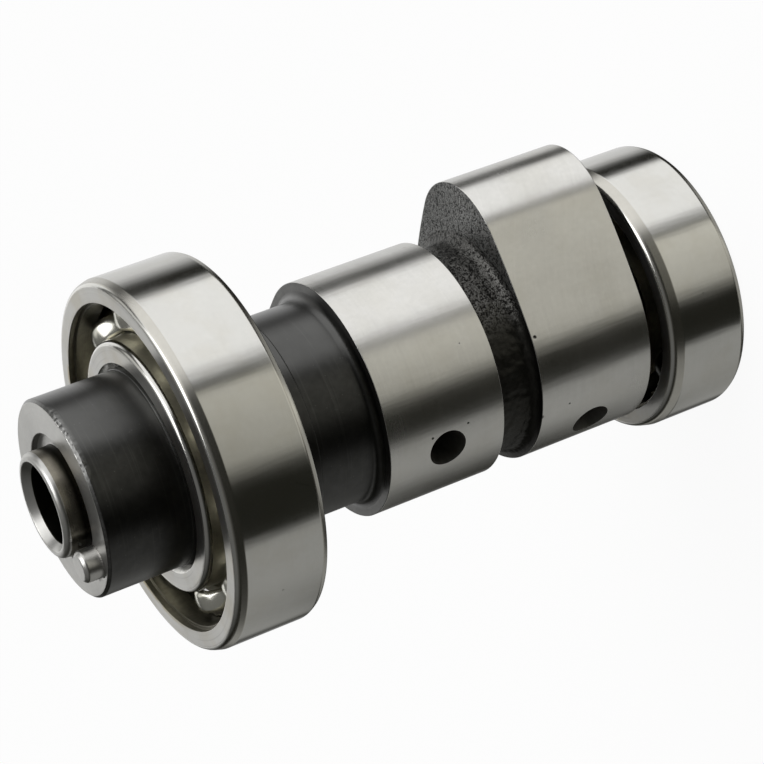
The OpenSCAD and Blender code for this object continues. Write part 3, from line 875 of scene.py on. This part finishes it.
class CAMSHAFT_OT_shaft(bpy.types.Operator):
    """Build the forged and turned shaft, without its lobes"""
    bl_idname = "camshaft.shaft"
    bl_label = "Shaft"

    def execute(self, context):
        s, lobes, _ = settings()
        nose_z, rear_top = nose_height(), lobes.rear_z + lobes.width
        verts, faces = spun(shaft_outline(s, lobes, nose_z), 400)
        verts = [self.shifted(Vector(co), s, lobes, rear_top, nose_z) for co in verts]
        steels = ("oxide", "scale", "machined", "drilled", "spigot", "oily")
        shaft = piece("shaft_core", verts, faces, steels, "shaft", ["camshaft"])
        self.drill(shaft, nose_z)
        holes = oil_holes(lobes)
        for hole in holes:
            cut(shaft, oil_drill(lobes, *hole))
        bore, spigot, tip_z = mount("bolt_bore"), mount("nose_spigot"), reach("camshaft")[3]
        zone(shaft, 1, lambda c, n, r: rear_top - lobes.overlap < c.z < lobes.front_z + lobes.overlap
             and r > s.middle - MM)
        zone(shaft, 2, lambda c, n, r: c.z > nose_z - s.groove_depth - 0.1 * MM
             and bore + 0.05 * MM < r < s.boss - s.boss_chamfer)
        zone(shaft, 4, lambda c, n, r: abs(r - spigot) < 0.1 * MM and c.z < tip_z - s.spigot_lip)
        # The bore and the gallery take the near-black steel of painted shade
        zone(shaft, 5, lambda c, n, r: r < bore + 0.05 * MM and c.z > lobes.rear_z)
        zone(shaft, 3, lambda c, n, r: any(in_oil_hole(lobes, *hole, c) for hole in holes))
        return {"FINISHED"}

    def shifted(self, co, s, lobes, rear_top, nose_z):
        """Where a point lies once the forging's uneven skin and the dents on the nose's edge are made."""
        radius = math.hypot(co.x, co.y)
        margin = 0.1 * MM
        if rear_top + margin < co.z < lobes.front_z - margin and radius > s.middle - MM:
            lump_size = 1.1 * MM
            rough = noise.fractal(co / lump_size, 0.7, 2, 4)
            return co + Vector((co.x, co.y, 0)) / radius * (rough - 0.5) * s.forged_depth
        turn = math.atan2(co.y, co.x)
        reach_down, dent_size, dents_around = 1.0 * MM, 0.9 * MM, 22
        deep = nose_z - co.z + 2 * max(0, s.boss - radius)
        if deep < reach_down and s.dent_start < turn < s.dent_end:
            fade = math.sin(math.pi * (turn - s.dent_start) / (s.dent_end - s.dent_start)) ** 0.6
            at = Vector((turn * dents_around, co.z / dent_size, radius / dent_size))
            knock = noise.fractal(at, 0.8, 2, 3)
            push = (knock - 0.35) * fade * (1 - deep / reach_down) * s.dent_depth
            return co + Vector((co.x / radius, co.y / radius, 0.7)) * push
        return co

    def drill(self, shaft, nose_z):
        """Cuts the dowel's hole, with a broken rim."""
        low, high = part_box("dowel_pin")
        at = (low + high) / 2
        play, rim, room_below = 0.03 * MM, 0.18 * MM, 0.3 * MM
        radius, floor, top = (high.x - low.x) / 2 + play, low.z - room_below, nose_z + MM
        hole = [(0, floor), (radius, floor), (radius, nose_z - rim), (radius + rim + MM, top), (0, top)]
        cut(shaft, cutter(hole, 64, Matrix.Translation((at.x, at.y, 0))))


def oil_holes(lobes):
    """Direction and height of the rear and the front lobe's oil hole."""
    half = lobes.width / 2
    return (lobes.rear_hole_turn, lobes.rear_z + half), (lobes.front_hole_turn, lobes.front_z + half)


def oil_drill(lobes, turn, z):
    """A cutter along the oil hole in a direction at a height."""
    rows = [(0, 0), (lobes.hole, 0), (lobes.hole, 2 * lobes.base), (0, 2 * lobes.base)]
    place = (Matrix.Translation((0, 0, z)) @ Matrix.Rotation(turn, 4, "Z")
             @ Matrix.Rotation(math.radians(90), 4, "Y"))
    return cutter(rows, 72, place)


def in_oil_hole(lobes, turn, z, at):
    """Whether a point lies in or on the wall of the oil hole in a direction at a height."""
    toward = Vector((math.cos(turn), math.sin(turn), 0))
    way = at - Vector((0, 0, z))
    return way.dot(toward) > 0 and (way - toward * way.dot(toward)).length < 1.01 * lobes.hole


def lobe_outline(sizes, inset, count):
    """Points around a lobe whose nose points along +X: base arc, bulging flank, nose arc, and back."""
    base, nose, flank = sizes.base - inset, sizes.nose - inset, sizes.flank - inset
    nose_x = sizes.base + sizes.lift - sizes.nose
    to_base, to_nose = sizes.flank - sizes.base, sizes.flank - sizes.nose
    flank_x = (to_base ** 2 - to_nose ** 2 + nose_x ** 2) / (2 * nose_x)
    flank_y = -math.sqrt(to_base ** 2 - flank_x ** 2)
    at_base = math.atan2(-flank_y, -flank_x)
    at_nose = math.atan2(-flank_y, nose_x - flank_x)
    arcs = ((nose_x, 0, nose, np.linspace(0, at_nose, count // 5)),
            (flank_x, flank_y, flank, np.linspace(at_nose, at_base, count // 6)[1:]),
            (0, 0, base, np.linspace(at_base, math.pi, count // 5)[1:]))
    half = [(x + r * math.cos(t), y + r * math.sin(t)) for x, y, r, turns in arcs for t in turns]
    return half + [(x, -y) for x, y in half[-2:0:-1]]


class CAMSHAFT_OT_lobes(bpy.types.Operator):
    """Build the two ground lobes"""
    bl_idname = "camshaft.lobes"
    bl_label = "Lobes"

    def execute(self, context):
        _, sizes, _ = settings()
        rear, front = oil_holes(sizes)
        self.lobe("rear_lobe", sizes, sizes.rear_z, sizes.rear_turn, rear, "forged", sizes.forged_lumps)
        self.lobe("front_lobe", sizes, sizes.front_z, sizes.front_turn, front, "turned", sizes.turned_lumps)
        return {"FINISHED"}

    def lobe(self, name, sizes, z, turn, hole, side, lumps):
        """One lobe as a ring of stacked outlines, with its oil hole drilled."""
        s, _, _ = settings()
        top, e, core = z + sizes.width, sizes.edge, s.neck - sizes.overlap
        lump_size = 1.3 * MM
        wall = [z + e, z + e + BRACE, z + sizes.width / 2, top - e - BRACE, top - e]
        levels = [(e, z), (0.3 * e, z + 0.3 * e)] + [(0, h) for h in wall]
        levels += [(0.3 * e, top - 0.3 * e), (e, top)]
        rings = [[(x, y, h) for x, y in lobe_outline(sizes, inset, 360)] for inset, h in levels]
        turns = [math.atan2(y, x) for x, y, _ in rings[0]]
        inner = [(core * math.cos(t), core * math.sin(t)) for t in turns]

        def side_row(ring, share, h, way):
            """Points of a side face, a share of the way in from the outline."""
            rows = []
            for (x, y, _), (ix, iy) in zip(ring, inner):
                at = Vector((x + (ix - x) * share, y + (iy - y) * share, h))
                uneven = noise.fractal(at / lump_size, 0.8, 2, 3) * min(1, share * 12)
                rows.append((at.x, at.y, h - way * max(0, uneven) * lumps))
            return rows

        shares = [0.01] + [i / 14 for i in range(1, 15)]
        stack = [side_row(rings[0], share, z, -1) for share in shares[::-1]] + rings
        stack += [side_row(rings[-1], share, top, 1) for share in shares]
        spin = Matrix.Rotation(turn, 3, "Z")
        verts = [spin @ Vector(co) for row in stack for co in row]
        faces = looped(len(stack), len(inner))
        lobe = piece(name, verts, faces, ("ground", side, "drilled"), "shaft", ["camshaft"])
        cut(lobe, oil_drill(sizes, *hole))
        toward = Vector((math.cos(hole[0]), math.sin(hole[0]), 0))
        zone(lobe, 1, lambda c, n, r: abs(n.z) > 0.8)
        zone(lobe, 2, lambda c, n, r: in_oil_hole(sizes, *hole, c) and abs(n.dot(toward)) < 0.5)


class CAMSHAFT_OT_dowel(bpy.types.Operator):
    """Build the dowel pin"""
    bl_idname = "camshaft.dowel"
    bl_label = "Dowel Pin"

    def execute(self, context):
        low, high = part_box("dowel_pin")
        at, radius, chamfer = (low + high) / 2, (high.x - low.x) / 2, 0.4 * MM
        rows = profile([(0, low.z), (radius - chamfer, low.z), (radius, low.z + chamfer),
                        (radius, high.z - chamfer), (radius - chamfer, high.z), (0, high.z)], chamfer)
        verts, faces = spun(rows, 96)
        verts = moved(verts, at.x, at.y)
        piece("dowel", verts, faces, ("machined",), "shaft", ["dowel_pin"])
        return {"FINISHED"}


def ball_place(end):
    """Radius of an end's balls and of the circle they run on, their height and the first ball's direction."""
    low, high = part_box(f"{end}_ball_1")
    at = (low + high) / 2
    return (high.z - low.z) / 2, math.hypot(at.x, at.y), at.z, math.atan2(at.y, at.x)


def balls_of(end):
    """The CAD nodes of an end's balls."""
    return [n for n in frame["nodes"] if n.startswith(f"{end}_ball_")]


def raceway(centre_r, centre_z, groove_r, land_r, outward):
    """Arc of a raceway in (r, z), from its lower to its upper lip, with corners left sharp."""
    side = math.acos((land_r - centre_r) / groove_r * outward)
    turns = np.linspace(-side, side, 26)
    across = outward * groove_r
    return [(centre_r + across * math.cos(t), centre_z + groove_r * math.sin(t), 0) for t in turns]


class CAMSHAFT_OT_rings(bpy.types.Operator):
    """Build both bearings' rings"""
    bl_idname = "camshaft.rings"
    bl_label = "Bearing Rings"

    def execute(self, context):
        _, _, b = settings()
        self.outer("front", b, b.front_chamfer, 512)
        self.outer("rear", b, b.rear_chamfer, 448)
        self.inner("front", b, 384)
        self.inner("rear", b, 320)
        return {"FINISHED"}

    def outer(self, end, b, chamfer, steps):
        land, outside, low, high = reach(f"{end}_outer_ring")
        ball, pitch, z, _ = ball_place(end)
        groove = b.groove_share * 2 * ball
        race = raceway(pitch + ball + b.race_play - groove, z, groove, land, 1)
        lip, deep, slope, soft = land + b.seal_step, b.seal_depth, b.face_chamfer, b.face_round
        outline = race + [
            (land, high - deep), (lip, high - deep), (lip, high), (outside - slope, high, soft),
            (outside, high - chamfer, soft), (outside, low + b.back_chamfer, soft),
            (outside - slope, low, soft), (lip, low), (lip, low + deep), (land, low + deep)]
        verts, faces = spun(profile(outline, 0.08 * MM, True), steps, True)
        steels = ("bearing", "race", "chamfer", "face")
        ring = piece(f"{end}_outer_race", verts, faces, steels, f"{end}_outer",
                     [f"{end}_outer_ring"])
        # Raceways, lands and the seal step take the race colour, darkened as painted shade inside the bearing
        zone(ring, 1, lambda c, n, r: outwards(c, n, r) < -0.3 or r < lip - 0.05 * MM)
        zone(ring, 2, lambda c, n, r: r > outside - slope and 0.15 < abs(n.z) < 0.6)
        zone(ring, 3, lambda c, n, r: abs(n.z) > 0.97 and r > lip - 0.05 * MM)

    def inner(self, end, b, steps):
        bore, land, low, high = reach(f"{end}_inner_ring")
        ball, pitch, z, _ = ball_place(end)
        groove = b.groove_share * 2 * ball
        race = raceway(pitch - ball - b.race_play + groove, z, groove, land, -1)
        lip, chamfer = b.lip_round, b.bore_chamfer
        outline = race + [
            (land, high, lip), (bore + chamfer, high), (bore, high - chamfer), (bore, low + chamfer),
            (bore + chamfer, low), (land, low, lip)]
        verts, faces = spun(profile(outline, 0.1 * MM, True), steps, True)
        ring = piece(f"{end}_inner_race", verts, faces, ("bearing", "land", "face"), "shaft",
                     [f"{end}_inner_ring"])
        zone(ring, 1, lambda c, n, r: outwards(c, n, r) > 0.3 and low + lip < c.z < high - lip)
        zone(ring, 2, lambda c, n, r: abs(n.z) > 0.97)


class CAMSHAFT_OT_balls(bpy.types.Operator):
    """Build the balls of both bearings"""
    bl_idname = "camshaft.balls"
    bl_label = "Balls"

    def execute(self, context):
        rows = context.scene.camshaft_studio.ball_rows
        for end in ("front", "rear"):
            radius = ball_place(end)[0]
            turns = [math.pi * i / rows for i in range(1, rows)]
            outline = [(radius * math.sin(t), -radius * math.cos(t)) for t in turns]
            verts, faces = spun([(0, -radius)] + outline + [(0, radius)], 2 * rows)
            for node in balls_of(end):
                low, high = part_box(node)
                at = (low + high) / 2
                piece(f"{node}_polished", moved(verts, *at), faces, ("ball",), f"{end}_cage",
                      [node])
        return {"FINISHED"}


class CAMSHAFT_OT_cages(bpy.types.Operator):
    """Build the pressed cages and their rivets"""
    bl_idname = "camshaft.cages"
    bl_label = "Cages"

    def execute(self, context):
        self.half("front", "nose_side", 1, "cage")
        self.half("front", "lobe_side", -1, "cage")
        # The rear cage's half on the lobe side and its rivets are painted near black as shade in the
        # bearing's gap
        self.half("rear", "lobe_side", 1, "oily")
        self.half("rear", "end_side", -1, "cage")
        self.rivets("front", "cage")
        self.rivets("rear", "oily")
        return {"FINISHED"}

    def half(self, end, half, side, finish):
        """One pressed half: flat between the balls, a dome over each ball."""
        _, _, b = settings()
        node = f"{end}_cage_{half}"
        inner, outer, low, high = reach(node)
        ball, pitch, z, first = ball_place(end)
        count = len(balls_of(end))
        sheet = (high - low) - ball - b.pocket_play
        steps, bands = 48 * count, 10
        turns = np.arange(steps) * TURN / steps
        blend, rim_drop = b.dome_blend, 0.12 * MM

        def height(radius, turn, thickness):
            """Height of the sheet's surface over the bearing's middle plane."""
            off = (turn - first + TURN / count / 2) % (TURN / count) - TURN / count / 2
            away = math.hypot(radius * math.sin(off), radius * math.cos(off) - pitch)
            dome = ball + b.pocket_play + thickness
            rise = math.sqrt(max(0, dome ** 2 - away ** 2))
            mix = max(0, min(1, 0.5 + (rise - thickness) / (2 * blend)))
            return thickness + (rise - thickness) * mix + blend * mix * (1 - mix) if rise else thickness

        def surface(thickness, edge):
            """Rows of points across one side of the sheet, lower by edge along both rims."""
            rows = []
            for band in range(bands + 1):
                radius = inner + (outer - inner) * band / bands
                drop = edge if band in (0, bands) else 0
                rows.append([(radius, t, height(radius, t, thickness) - drop) for t in turns])
            return rows

        loop = surface(sheet, rim_drop) + surface(0, 0)[::-1]
        verts = [(r * math.cos(t), r * math.sin(t), z + side * h) for row in loop for r, t, h in row]
        faces = looped(len(loop), steps)
        piece(f"{node}_pressed", verts, faces, (finish,), f"{end}_cage", [node])

    def rivets(self, end, finish):
        """Domed rivets between the pockets, all in one piece."""
        _, _, b = settings()
        node = f"{end}_cage_rivets"
        low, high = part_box(node)
        _, pitch, z, first = ball_place(end)
        count = len(balls_of(end))
        half = (high.z - low.z) / 2
        face = half - b.rivet_rise
        turns = np.linspace(0, math.pi / 2, 7)
        dome = [(b.rivet_head * math.cos(t), face + b.rivet_rise * math.sin(t)) for t in turns[:-1]]
        verts, faces = spun([(0, -half)] + [(r, -h) for r, h in dome[::-1]] + dome + [(0, half)], 32)
        all_verts, all_faces = [], []
        for i in range(count):
            turn = first + TURN / count * (i + 0.5)
            start = len(all_verts)
            all_verts += moved(verts, pitch * math.cos(turn), pitch * math.sin(turn), z)
            all_faces += [tuple(v + start for v in f) for f in faces]
        piece(f"{end}_rivets_domed", all_verts, all_faces, (finish,), f"{end}_cage", [node])


# Studio

WHITE, CREAM, IVORY = (1.0, 1.0, 1.0), (1.0, 1.0, 0.97), (1.0, 0.98, 0.88)
DARK_WALL, PALE_WALL = (0.02, 0.02, 0.016), (0.16, 0.16, 0.155)
# Soft boxes: first and last direction about the shaft, softness of each of these edges, lowest and
# highest rise of the light's direction and softness of these, strength, and colour
SOFT_BOXES = {
    "Key": (9, 76, 9, 5, -0.64, 2, 0.05, 1.28, WHITE),
    "Side": (-50, -1, 8, 3, -2, -0.07, 0.09, 0.32, IVORY),
    "Side glow": (-20, 0, 40, 4, -2, -0.07, 0.09, 0.34, IVORY),
    "Under side": (-57, 5, 7, 8, -0.72, -0.37, 0.05, 0.22, (1.0, 0.98, 0.9)),
    "Back": (99, 157, 11, 18, -0.56, 0.05, 0.1, 0.82, WHITE),
    "Faces": (97, 162, 13, 14, 0.05, 0.385, 0.03, 1.12, (1.0, 1.0, 0.99)),
    "Slope": (98, 138, 8, 7, 0.52, 0.8, 0.05, 0.6, CREAM),
    "Low": (214, 265, 22, 5, -0.72, -0.05, 0.12, 0.37, CREAM),
    "Low front": (176, 214, 7, 22, -0.355, -0.05, 0.03, 0.33, CREAM),
    "Low rear": (176, 214, 7, 22, -0.72, -0.46, 0.03, 0.33, CREAM),
    "Table": (-200, 200, 1, 1, -2, -0.86, 0.05, 0.4, CREAM),
    "Top": (-2, 112, 8, 10, 0.76, 2, 0.04, 2.1, WHITE),
}


class CAMSHAFT_OT_stage(bpy.types.Operator):
    """Build the floor, the studio's light and the camera"""
    bl_idname = "camshaft.stage"
    bl_label = "Stage"

    def execute(self, context):
        studio = context.scene.camshaft_studio
        self.light(context.scene)
        self.floor(studio)
        self.camera(context.scene, studio)
        context.scene.view_settings.view_transform = "Standard"
        return {"FINISHED"}

    def light(self, scene):
        """Soft boxes all round the shaft, and plain white where the camera looks past it."""
        world = bpy.data.worlds.new("Studio")
        world.use_nodes = True
        tree = world.node_tree
        way = put(tree, "ShaderNodeTexCoord").outputs["Generated"]
        rise = put(tree, "ShaderNodeSeparateXYZ", Vector=way).outputs[2]
        walls = blended(tree, spread(tree, rise, 0.3, 0.7), DARK_WALL, PALE_WALL)
        for start, end, first, last, low, high, soft, strength, colour in SOFT_BOXES.values():
            up = mask(tree, "band", Value=rise, Bottom=low, Top=high, Softness=soft)
            shine = times(tree, sector(tree, way, start, first, end, last), up)
            grey = put(tree, "ShaderNodeCombineColor", Red=shine, Green=shine, Blue=shine).outputs[0]
            box = blended(tree, 1, grey, darker(colour, strength), "MULTIPLY")
            walls = blended(tree, 1, walls, box, "ADD")
        seen = put(tree, "ShaderNodeLightPath").outputs["Is Camera Ray"]
        feed(tree, tree.nodes["Background"].inputs["Color"], blended(tree, seen, walls, WHITE))
        arrange(tree)
        scene.world = world

    def floor(self, studio):
        """A round pale floor that keeps a soft shadow."""
        material = bpy.data.materials.new("Pale floor")
        material.use_nodes = True
        tree = material.node_tree
        tree.nodes.clear()
        lit = put(tree, "ShaderNodeBsdfDiffuse", Color=(0.95, 0.95, 0.95, 1))
        white = put(tree, "ShaderNodeEmission", Color=(1, 1, 1, 1), Strength=1)
        seen = put(tree, "ShaderNodeLightPath").outputs["Is Camera Ray"]
        share = spread(tree, seen, 0, 1, 0, 1 - studio.floor_shade)
        mixed = put(tree, "ShaderNodeMixShader")
        for socket, value in zip(mixed.inputs, (share, lit.outputs[0], white.outputs[0])):
            feed(tree, socket, value)
        put(tree, "ShaderNodeOutputMaterial", Surface=mixed.outputs[0])
        arrange(tree)
        verts, faces = spun([(0, 0), (studio.floor_radius, 0)], 96)
        mesh = bpy.data.meshes.new("floor")
        mesh.from_pydata(verts, [], faces)
        mesh.materials.append(material)
        floor = bpy.data.objects.new("floor", mesh)
        floor.location.z = -0.02 * MM
        floor.visible_glossy = False
        bpy.context.scene.collection.objects.link(floor)

    def camera(self, scene, studio):
        """The camera at the photograph's viewing angle."""
        forward = Vector(studio.camera_forward).normalized()
        right = Vector(studio.camera_right)
        right = (right - forward * right.dot(forward)).normalized()
        turn = Matrix((right, right.cross(forward), -forward)).transposed().to_4x4()
        camera = bpy.data.objects.new("camera", bpy.data.cameras.new("camera"))
        camera.matrix_world = Matrix.Translation(studio.camera_at) @ turn
        camera.data.sensor_width = 36
        camera.data.lens = studio.lens
        camera.data.clip_start, camera.data.clip_end = 0.01, 10
        scene.collection.objects.link(camera)
        scene.camera = camera


class CAMSHAFT_PT_panel(bpy.types.Panel):
    """Sidebar panel with a button for each group of pieces"""
    bl_label = "Camshaft"
    bl_idname = "CAMSHAFT_PT_panel"
    bl_space_type = "VIEW_3D"
    bl_region_type = "UI"
    bl_category = "Camshaft"

    def draw(self, context):
        for operator in OPERATORS:
            self.layout.operator(operator.bl_idname)


OPERATORS = (CAMSHAFT_OT_stage, CAMSHAFT_OT_shaft, CAMSHAFT_OT_lobes, CAMSHAFT_OT_dowel, CAMSHAFT_OT_rings,
             CAMSHAFT_OT_cages, CAMSHAFT_OT_balls)
GROUPS = {"camshaft_shaft": ShaftSizes, "camshaft_lobes": LobeSizes, "camshaft_bearings": BearingSizes,
          "camshaft_colours": FinishColours, "camshaft_studio": StudioSettings}


def register():
    for item in (*GROUPS.values(), *OPERATORS, CAMSHAFT_PT_panel):
        bpy.utils.register_class(item)
    for name, item in GROUPS.items():
        setattr(bpy.types.Scene, name, PointerProperty(type=item))


def unregister():
    for name in GROUPS:
        delattr(bpy.types.Scene, name)
    for item in (CAMSHAFT_PT_panel, *reversed(OPERATORS), *reversed(GROUPS.values())):
        bpy.utils.unregister_class(item)


def main():
    register()
    for operator in OPERATORS:
        section, action = operator.bl_idname.split(".")
        getattr(getattr(bpy.ops, section), action)()


if __name__ == "__main__":
    main()
